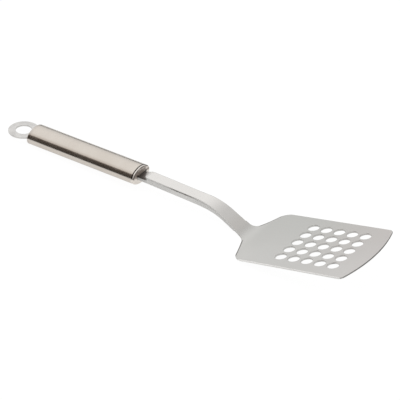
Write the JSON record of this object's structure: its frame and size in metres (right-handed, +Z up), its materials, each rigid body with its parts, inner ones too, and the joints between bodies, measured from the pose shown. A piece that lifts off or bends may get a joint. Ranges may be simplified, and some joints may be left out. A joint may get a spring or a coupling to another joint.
{
  "type": "fish spatula",
  "caption": "Perforated stainless steel turner with a cranked, folded neck, a hollow oval handle with two end caps and a flat hanging loop.",
  "frame": {"origin": "centre of the outline's box on the table that the tool lies on, under the tube's front part", "axes": "+X to the tip of the blade, +Y to the left side when looking from the handle to the tip, +Z up from the table; the tool is mirror symmetric about Y = 0"},
  "size_m": [0.3522, 0.079, 0.0302],
  "materials": {
    "blade_steel": "satin, polished along the neck",
    "cap_steel": "polished",
    "tube_steel": "fine brushing round the tube",
    "rear_cap_steel": "satin",
    "loop_steel": "satin",
    "weld_steel": "bare weld"
  },
  "bodies": {
    "root": {"blade_and_neck": "blade_steel", "front_cap": "cap_steel", "handle_tube": "tube_steel", "rear_cap": "rear_cap_steel", "hanging_loop": "loop_steel", "neck_weld": "weld_steel", "loop_weld": "weld_steel"}
  },
  "joints": []
}
